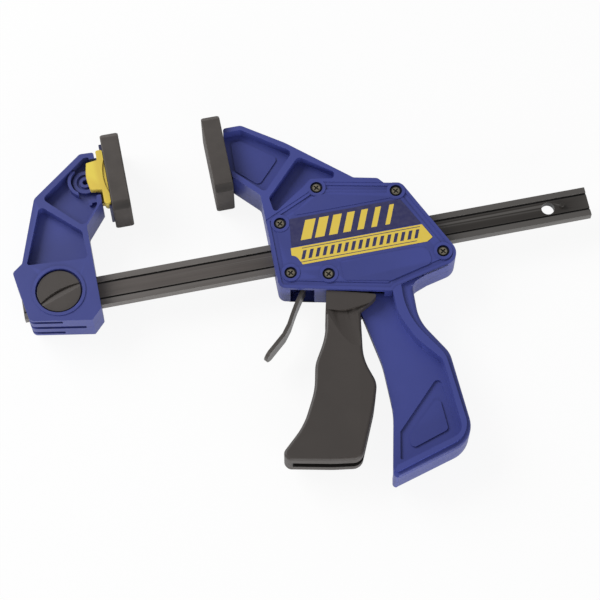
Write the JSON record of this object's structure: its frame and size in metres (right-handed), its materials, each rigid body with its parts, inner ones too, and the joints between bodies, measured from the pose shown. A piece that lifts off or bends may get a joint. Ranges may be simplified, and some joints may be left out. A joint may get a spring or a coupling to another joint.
{
  "type": "quick release bar clamp",
  "caption": "One-handed bar clamp: a fixed jaw with a swivelling pad on an I-section steel bar, and a sliding jaw with pistol grip, trigger and release lever.",
  "frame": {"origin": "middle of the base of the bounding box; the clamp lies on its side with the edges of its pads on z = 0", "axes": "+X along the bar towards its free end, +Y towards the tips of the jaws, +Z away from the surface that the clamp lies on"},
  "size_m": [0.3722, 0.2647, 0.036],
  "materials": {
    "blue_plastic": "satin moulded",
    "bar_steel": "black oxide, drawn lines",
    "pin_steel": "ground",
    "pad_rubber": "matt",
    "trigger_plastic": "fine grained",
    "yellow_plastic": "satin moulded",
    "screw_steel": "black zinc",
    "lever_steel": "phosphated strip",
    "spring_steel": "drawn wire",
    "label_navy": "printed film",
    "label_yellow": "printed film"
  },
  "bodies": {
    "frame": {"bar": "bar_steel", "stop_pin": "pin_steel", "fixed_jaw": "blue_plastic", "swivel_pin": "pin_steel"},
    "knob": {"jaw_knob": "trigger_plastic"},
    "lock": {"lock_pin": "pin_steel", "lock_spring": "spring_steel"},
    "pad_carrier": {"swivel_carrier": "yellow_plastic", "fixed_pad_plate": "blue_plastic", "fixed_pad": "pad_rubber"},
    "sliding_jaw": {"main_body": "blue_plastic", "cover": "blue_plastic", "cover_screws": "screw_steel", "label_plate": "label_navy", "label_band": "label_yellow", "moving_pad": "pad_rubber", "trigger_pin": "pin_steel", "release_spring": "spring_steel"},
    "trigger": {"trigger": "trigger_plastic"},
    "drive": {"drive_plate_front": "lever_steel", "drive_plate_rear": "lever_steel", "drive_spring": "spring_steel"},
    "release": {"release_lever": "lever_steel"}
  },
  "joints": [
    {"name": "jaw_slide", "type": "slide", "parent": "frame", "child": "sliding_jaw", "axis": [1, 0, 0], "range_m": [-0.0523, 0.095]},
    {"name": "trigger_squeeze", "type": "hinge", "parent": "sliding_jaw", "child": "trigger", "pos_m": [0.046, 0.056, 0.018], "axis": [0, 0, 1], "range_deg": [0, 7], "stiffness_Nm_per_rad": 4, "springref_deg": -1.72},
    {"name": "drive_stroke", "type": "slide", "parent": "sliding_jaw", "child": "drive", "axis": [1, 0, 0], "range_m": [0, 0.0036], "deforming": ["drive_spring"]},
    {"name": "release_pull", "type": "hinge", "parent": "sliding_jaw", "child": "release", "pos_m": [-0.006, 0.046, 0.018], "axis": [0, 0, 1], "range_deg": [0, 6], "stiffness_Nm_per_rad": 1.5, "springref_deg": -2.86, "deforming": ["release_spring"]},
    {"name": "pad_swivel", "type": "hinge", "parent": "frame", "child": "pad_carrier", "pos_m": [-0.125, 0.1045, 0.018], "axis": [0, 0, 1], "range_deg": [-4, 4]},
    {"name": "knob_turn", "type": "hinge", "parent": "frame", "child": "knob", "pos_m": [-0.1595, 0.03, 0.018], "axis": [0, 0, 1], "range_deg": [0, 90]},
    {"name": "lock_lift", "type": "slide", "parent": "frame", "child": "lock", "axis": [0, 0, 1], "range_m": [0, 0.0021], "deforming": ["lock_spring"]}
  ],
  "couplings": [
    {"joint": "drive_stroke", "follows": "trigger_squeeze", "m_per_rad": 0.0293},
    {"joint": "lock_lift", "follows": "knob_turn", "m_per_rad": 0.001335}
  ]
}
